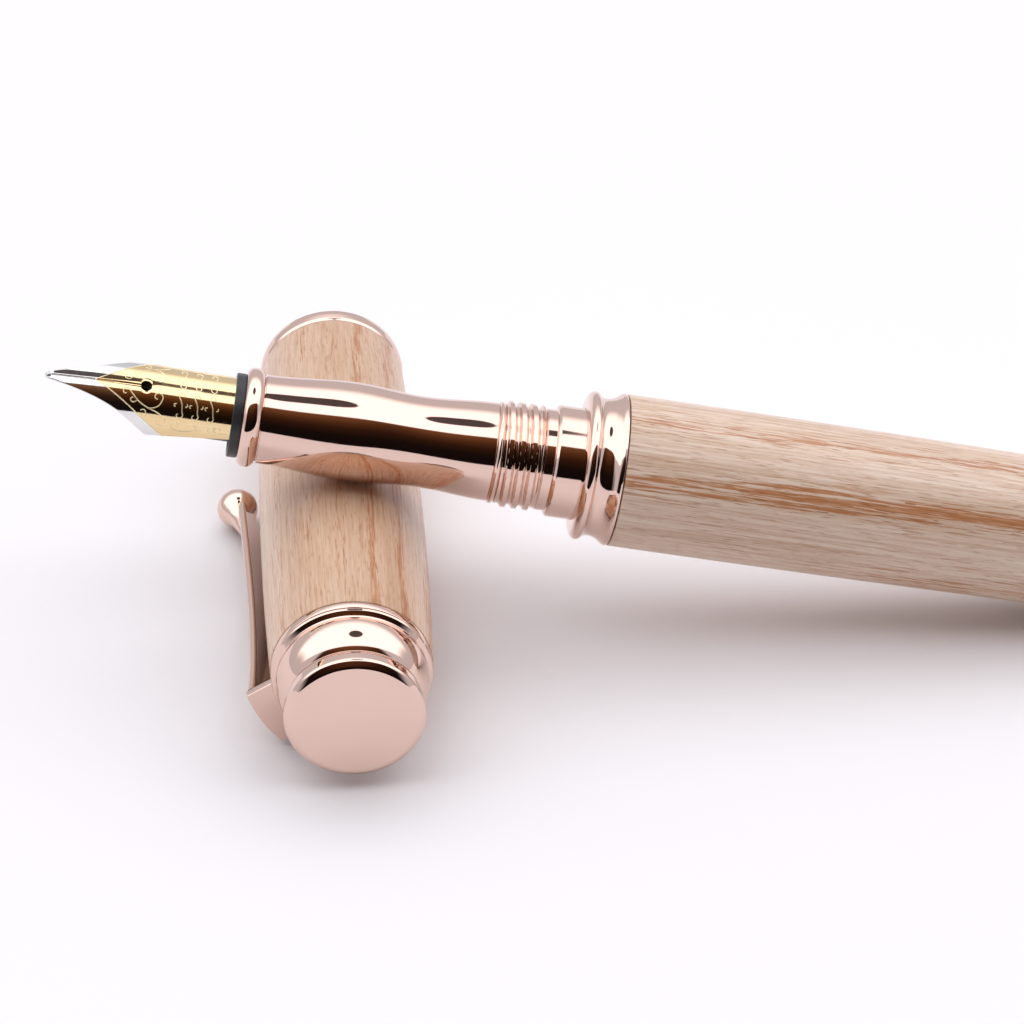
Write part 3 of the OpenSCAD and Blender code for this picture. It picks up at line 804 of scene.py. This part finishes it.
def nib_sheet():
    """Two mirrored halves of bowed sheet, which meet behind the breather hole."""
    stations, cols = nib_stations(), 40
    rows, width = len(stations), cols + 1
    size = rows * width
    verts, faces, tones = [], [], []

    def add(face, side):
        faces.append(face if side > 0 else face[::-1])

    for side in (1, -1):
        base = len(verts)
        for layer in (0, 1):
            for s in stations:
                a0, a1 = slit_angle(s), math.radians(nib_half(s))
                for j in range(cols + 1):
                    a = a0 + (a1 - a0) * (1 - (1 - j / cols) ** 1.5)
                    rim = min((a1 - a) * NIB_R, s - TIP_S)
                    if a0 > 0:
                        rim = min(rim, (a - a0) * NIB_R)
                    round_off = 0.05 * max(0, 1 - rim / 0.09) ** 2
                    lift = -round_off if layer == 0 else -NIB_T + round_off
                    verts.append(nib_point(s, side * a, lift))
                    tones.append(tone_edge(s, a))
        for i in range(rows - 1):
            for j in range(cols):
                k = base + i * width + j
                quad = [k, k + 1, k + width + 1, k + width]
                add(quad, -side)
                add([q + size for q in quad], side)
            edge = base + i * width + cols
            add([edge, edge + width, edge + width + size, edge + size], side)
            if slit_angle(stations[i]) > 0 or slit_angle(stations[i + 1]) > 0:
                edge = base + i * width
                add([edge, edge + width, edge + width + size, edge + size], -side)
        for j in range(cols):
            k = base + j
            add([k, k + 1, k + 1 + size, k + size], side)
            k = base + (rows - 1) * width + j
            add([k, k + 1, k + 1 + size, k + size], -side)
    obj = mesh_piece("nib_sheet", verts, faces, PEN, NIB_METAL, 60)
    tone = obj.data.attributes.new("tone", "FLOAT", "POINT")
    tone.data.foreach_set("value", tones)
    return obj


def curl(s, w, r0, r1, a0, a1, count=8):
    """Points of a spiral round (s, w), from radius r0 at a0 degrees to r1 at a1."""
    turns = zip(spread(r0, r1, count), spread(math.radians(a0), math.radians(a1), count))
    return [(s + r * math.cos(a), w + r * math.sin(a)) for r, a in turns]


def wire(paths, radius, lift):
    """Fine raised lines that follow the nib's surface, with tapering ends."""
    verts, faces, sides = [], [], 6
    for path in paths:
        ring_start = len(verts)
        last = len(path) - 1
        for i, (s, w) in enumerate(path):
            s0, w0 = path[max(i - 1, 0)]
            s1, w1 = path[min(i + 1, last)]
            length = math.hypot(s1 - s0, w1 - w0) or 1
            across = (-(w1 - w0) / length, (s1 - s0) / length)
            taper = radius * min(1, 0.6 + 3.0 * min(i, last - i) / last)
            for k in range(sides):
                a = TAU * k / sides
                ds, dw = across[0] * taper * math.cos(a), across[1] * taper * math.cos(a)
                verts.append(nib_point(s + ds, (w + dw) / NIB_R, lift + taper * 0.6 * math.sin(a)))
        for i in range(last):
            for k in range(sides):
                a = ring_start + i * sides + k
                b = ring_start + i * sides + (k + 1) % sides
                faces.append([a, b, b + sides, a + sides])
        faces.append([ring_start + k for k in range(sides)][::-1])
        faces.append([ring_start + last * sides + k for k in range(sides)])
    return verts, faces


def scrollwork():
    """Scrolls beside the breather hole, vines across the heel and curls along its edge."""
    one_side = [
        curl(7.3, 0.76, 0.14, 0.36, 60, 320)
        + [(8.05, 1.03), (8.57, 1.51), (9.35, 1.94), (10.12, 2.21), (10.70, 2.51)]
        + curl(10.6, 3.09, 0.52, 0.24, -38, 270),
        [(9.45, 1.96), (9.95, 1.91), (10.38, 1.65)] + curl(10.2, 0.92, 0.50, 0.16, 35, -280),
        [(8.42, 1.39)] + curl(8.0, 1.35, 0.30, 0.12, 50, 280, 5),
        curl(9.05, 2.44, 0.30, 0.20, -150, 110, 6),
        curl(12.1, 3.30, 0.16, 0.50, 0, -235) + [(12.5, 3.83), (13.1, 3.77)]
        + curl(13.4, 3.26, 0.46, 0.18, 50, -215),
        curl(14.2, 3.33, 0.14, 0.38, 20, 262) + [(14.6, 2.92), (15.0, 2.95)]
        + curl(15.2, 3.28, 0.36, 0.14, -50, 230),
        curl(15.95, 3.19, 0.14, 0.42, 0, -230) + [(16.25, 3.56), (16.8, 3.50)],
    ]
    for s in (12.2, 13.6, 15.0):
        one_side += [
            curl(s + 0.22, 0.46, 0.12, 0.34, 60, -215) + [(s + 0.22, 1.25)]
            + curl(s + 0.05, 2.25, 0.40, 0.14, -50, 240),
            curl(s - 0.34, 1.40, 0.16, 0.10, -60, -270, 5),
            curl(s + 0.62, 1.30, 0.16, 0.10, 120, -60, 5)]
    one_side = [flow(path, 4) for path in one_side]
    paths = one_side + [[(s, -w) for s, w in path] for path in one_side]
    rim = [(s, tone_line(s) * NIB_R) for s in spread(TONE_S, 11.1, 60)]
    paths += [rim, [(s, -w) for s, w in rim]]
    return wire(paths, 0.050, 0.004)


def tipping():
    """Two half pellets, one under each tine."""
    verts, faces = [], []
    rings, around = 14, 20
    height, width, length, gap = 0.34, 0.32, 0.36, 0.02
    centre = Vector((NIB_R + nib_flare(TIP_S) - NIB_T / 2 - TIP_DROP - 0.02, 0, TIP_S - 0.12))
    for side in (1, -1):
        base = len(verts)
        for i in range(rings + 1):
            a = math.pi * i / rings
            for k in range(around):
                b = math.pi * k / (around - 1)
                verts.append((centre.x + height * math.sin(a) * math.cos(b),
                              side * (gap + width * math.sin(a) * math.sin(b)),
                              centre.z - length * math.cos(a)))
        for i in range(rings):
            for k in range(around - 1):
                q = base + i * around + k
                face = [q, q + 1, q + 1 + around, q + around]
                faces.append(face if side > 0 else face[::-1])
            q = base + i * around
            flat = [q + around - 1, q, q + around, q + 2 * around - 1]
            faces.append(flat if side > 0 else flat[::-1])
    return mesh_piece("nib_tipping_pellet", verts, faces, PEN, TIP, 50)


stand_for(nib_sheet(), "nib")
lines = mesh_piece("nib_scrollwork", *scrollwork(), PEN, LINE)
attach(lines, "section")
stand_for(tipping(), "nib_tipping")

# ---------------------------------------------------------------- converter

PISTON_END_S, SLEEVE_S, TUBE_END_S, KNOB_FLOOR_S = 42, 60, 65, 91


def converter():
    """The clear tube, its plated sleeve, the guide in the sleeve, and the piston on its rod."""
    tube = fillet([
        (1.26, 30.3), (3.05, 30.3, 0.2), (3.35, 30.8, 0.3), (3.35, SLEEVE_S, 0.05),
        (3.0, SLEEVE_S), (3.0, TUBE_END_S, 0.05), (2.7, TUBE_END_S, 0.05), (2.7, 37.5, 0.3),
        (1.26, 36.9, 0.05)])
    stand_for(lathe("converter_tube_moulded", tube, PEN, CLEAR, segments=128), "converter_tube")
    groove_s, sleeve_end_s = SLEEVE_S + 0.9, 73.9
    sleeve = fillet([
        (3.02, SLEEVE_S + 0.02), (3.40, SLEEVE_S + 0.02, 0.08), (3.40, groove_s, 0.03),
        (3.33, groove_s + 0.1, 0.03), (3.33, groove_s + 0.4, 0.03), (3.40, groove_s + 0.5, 0.03),
        (3.40, sleeve_end_s, 0.08), (3.02, sleeve_end_s)])
    stand_for(lathe("converter_sleeve_turned", sleeve, PEN, ROSE, segments=128),
              "converter_sleeve")
    guide = fillet([(1.66, TUBE_END_S + 0.02, 0.1), (3.0, TUBE_END_S + 0.02, 0.1),
                    (3.0, 69, 0.1), (1.66, 69, 0.1)])
    stand_for(lathe("converter_guide_moulded", guide, PEN, BLACK, segments=96),
              "converter_guide")
    lip_r, neck_r = 2.64, 2.2
    piston = fillet([
        (0, 38), (1.6, 38, 0.1), (2.5, 38.2, 0.1), (lip_r, 38.5, 0.1), (lip_r, 39.1, 0.1),
        (neck_r, 39.5, 0.2), (neck_r, 40.5, 0.2), (lip_r, 40.9, 0.1), (lip_r, 41.7, 0.1),
        (2.3, PISTON_END_S, 0.1), (0, PISTON_END_S)])
    stand_for(lathe("converter_piston_moulded", piston, PEN, RUBBER, segments=96),
              "converter_piston")
    rod_r, rod_bore, rod_end_s = 1.6, 1.2, 67
    rod = fillet([(0, PISTON_END_S + 0.02), (rod_r, PISTON_END_S + 0.02, 0.1),
                  (rod_r, rod_end_s, 0.1), (rod_bore, rod_end_s),
                  (rod_bore, PISTON_END_S + 1), (0, PISTON_END_S + 1)])
    stand_for(lathe("converter_rod_moulded", rod, PEN, WHITE, segments=96), "converter_rod")


def converter_spindle():
    """The threaded spindle, fixed in the knob, that draws the rod back."""
    s0, s1, root_r = 64.5, KNOB_FLOOR_S - 0.02, 0.86
    threads = [(root_r, s) for s in spread(s0 + 0.15, s1, 260)]
    thread = only_at(root_r, screw_ripple(s0 + 0.3, s1 - 0.5, 2.0, 0.22))
    obj = lathe("converter_spindle_turned", [(0, s0), (0.75, s0)] + threads + [(0, s1)],
                PEN, STEEL, thread, segments=72)
    stand_for(obj, "converter_spindle")


def converter_knob():
    """The fluted knob, with a plain collar that turns inside the sleeve."""
    flutes, depth, crest_r, front_s, end_s = 24, 0.13, 3.34, 69.3, 94
    profile = [(0, end_s), (0, KNOB_FLOOR_S), (2.2, KNOB_FLOOR_S), (2.2, front_s),
               (2.94, front_s, 0.1), (2.94, 74, 0.05), (3.1, 74, 0.1), (3.35, 74.3, 0.1),
               (3.35, 75.4, 0.05), (3.25, 75.6, 0.05)]
    profile += [(crest_r, s) for s in spread(75.9, 92.2, 24)]
    profile += [(3.3, 93.4, 0.3), (2.7, end_s, 0.4)]
    fluting = only_at(crest_r, lambda r, s, a: -depth * (0.5 + 0.5 * math.cos(a * flutes)) ** 2)
    obj = lathe("converter_knob_moulded", fillet(profile), PEN, BLACK, fluting, segments=240)
    stand_for(obj, "converter_knob")


converter()
converter_spindle()
converter_knob()

# ---------------------------------------------------------------- carried-over CAD nodes


def finish_node(node, material):
    """Gives a node that is shown as the design has it its material and smooth shading."""
    obj = frame["nodes"][node]
    obj.data.materials.clear()
    obj.data.materials.append(material)
    for poly in obj.data.polygons:
        poly.use_smooth = True
    obj.data.set_sharp_from_angle(angle=math.radians(CREASE))


finish_node("cap_tube", BRASS)
finish_node("barrel_tube", BRASS)
finish_node("cap_inner_liner", BLACK)
finish_node("feed", BLACK)

# ---------------------------------------------------------------- studio


def floor():
    """A sheet of white paper, just beneath the cap and the pen."""
    bpy.ops.mesh.primitive_plane_add(size=8, location=(0, 0, -0.0001))
    plane = bpy.context.object
    plane.name = "studio_floor"
    mat, nodes, links, bsdf = new_material("floor_paper")
    cloud = noise_node(nodes, links, 6, 2)
    links.new(mix_colour(nodes, links, cloud, (0.885, 0.875, 0.895), (0.875, 0.865, 0.885)),
              bsdf.inputs["Base Color"])
    bsdf.inputs["Roughness"].default_value = 0.75
    plane.data.materials.append(mat)


def studio_world():
    """A light tent: a broad bright roof with a small dark hole, pale sides, and an open front.

    Edges are ranges over which the light fades: in degrees of pitch for the roof's front and back,
    as shares of the direction's length for its sides, and of level distance for the open front.
    """
    world = bpy.data.worlds.new("studio")
    bpy.context.scene.world = world
    world.use_nodes = True
    nodes, links = world.node_tree.nodes, world.node_tree.links

    roof_front, roof_back, roof_side = (62.5, 65.5), (124, 146), (0.86, 0.97)
    front_width, hole_edge = (0.42, 0.58), (0.85, 1.15)

    def fade(value, edge, c, d):
        return map_range(nodes, links, value, *edge, c, d, "SMOOTHSTEP")

    def calc(operation, a, b=None):
        return math_node(nodes, links, operation, a, b)

    def offset(value, centre, half):
        return calc("POWER", calc("DIVIDE", calc("SUBTRACT", value, centre), half), 2)

    coords = nodes.new("ShaderNodeTexCoord")
    split = nodes.new("ShaderNodeSeparateXYZ")
    links.new(coords.outputs["Generated"], split.inputs["Vector"])
    x, y, z = split.outputs
    # angle round the X axis: 0 is the horizon in front, 90 is overhead, 180 is behind
    pitch = calc("MULTIPLY", calc("ARCTAN2", z, calc("MULTIPLY", y, -1)), 180 / math.pi)
    level = calc("SQRT", calc("ADD", calc("POWER", x, 2), calc("POWER", y, 2)))
    front = fade(calc("DIVIDE", calc("MULTIPLY", y, -1), level), front_width, 0, 1)
    dark = calc("MULTIPLY", front, fade(pitch, roof_front, 1, 0))
    roof = calc("MULTIPLY", fade(pitch, roof_front, 0, 1), fade(pitch, roof_back, 1, 0))
    roof = calc("MULTIPLY", roof, fade(calc("ABSOLUTE", x), roof_side, 1, 0))
    hole = fade(calc("ADD", offset(x, 0.105, 0.150), offset(pitch, 96, 10)), hole_edge, 1, 0)

    room = ramp(nodes, links, z, [(0.0, (0.007, 0.005, 0.005)), (0.35, (0.010, 0.006, 0.005)),
                                  (0.60, (0.035, 0.014, 0.007)), (0.75, (0.090, 0.036, 0.015)),
                                  (0.89, (0.200, 0.085, 0.035))])
    sides = ramp(nodes, links, z, [(0.0, (0.66, 0.66, 0.70)), (1.0, (0.80, 0.80, 0.84))])
    colour = mix_colour(nodes, links, dark, sides, room)
    colour = mix_colour(nodes, links, roof, colour, (1.86, 1.84, 1.90))
    colour = mix_colour(nodes, links, hole, colour, (0.10, 0.085, 0.085))
    background = nodes["Background"]
    links.new(colour, background.inputs["Color"])
    background.inputs["Strength"].default_value = 1.0


def camera():
    """A long lens that looks down at the crossing of pen and cap."""
    data = bpy.data.cameras.new("camera")
    data.sensor_width, data.lens = 36, 141.3
    data.clip_start, data.clip_end = 0.01, 20
    obj = bpy.data.objects.new("camera", data)
    bpy.context.scene.collection.objects.link(obj)
    obj.location = (-0.0357, -0.3101, 0.2176)
    pitch, azimuth = math.radians(33.82), math.radians(-4.19)
    obj.rotation_euler = (math.pi / 2 - pitch, 0, azimuth)
    bpy.context.scene.camera = obj


floor()
studio_world()
camera()
view = bpy.context.scene.view_settings
view.view_transform = "Standard"
view.look = "None"
